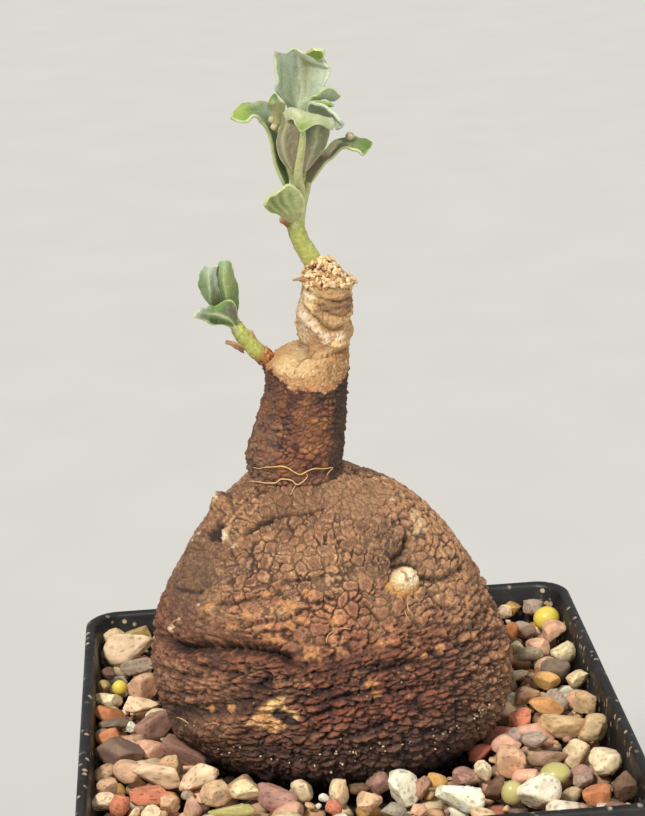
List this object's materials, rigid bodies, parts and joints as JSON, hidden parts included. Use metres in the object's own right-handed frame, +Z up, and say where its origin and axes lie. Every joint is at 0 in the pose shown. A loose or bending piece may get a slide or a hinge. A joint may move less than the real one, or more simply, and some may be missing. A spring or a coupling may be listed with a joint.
{
  "type": "potted caudex plant",
  "caption": "Squat bark-plated caudex plant with a short neck, a cut stub and small leafy shoots, set on gravel in a square black nursery pot.",
  "frame": {"origin": "middle of the pot's base, on the surface that the pot stands on", "axes": "+Z up, the pot's sides face X and Y, the picture looks along +Y with +X to the right"},
  "size_m": [0.11, 0.11, 0.2447],
  "materials": {
    "pot_plastic": "satin",
    "soil_mix": "matte",
    "gravel_stone": "matte",
    "bark": "matte",
    "foliage": "satin"
  },
  "bodies": {
    "root": {"pot": "pot_plastic", "substrate": "soil_mix", "gravel": "gravel_stone", "caudex": "bark", "main_shoot": "foliage", "side_shoot": "foliage"}
  },
  "joints": []
}
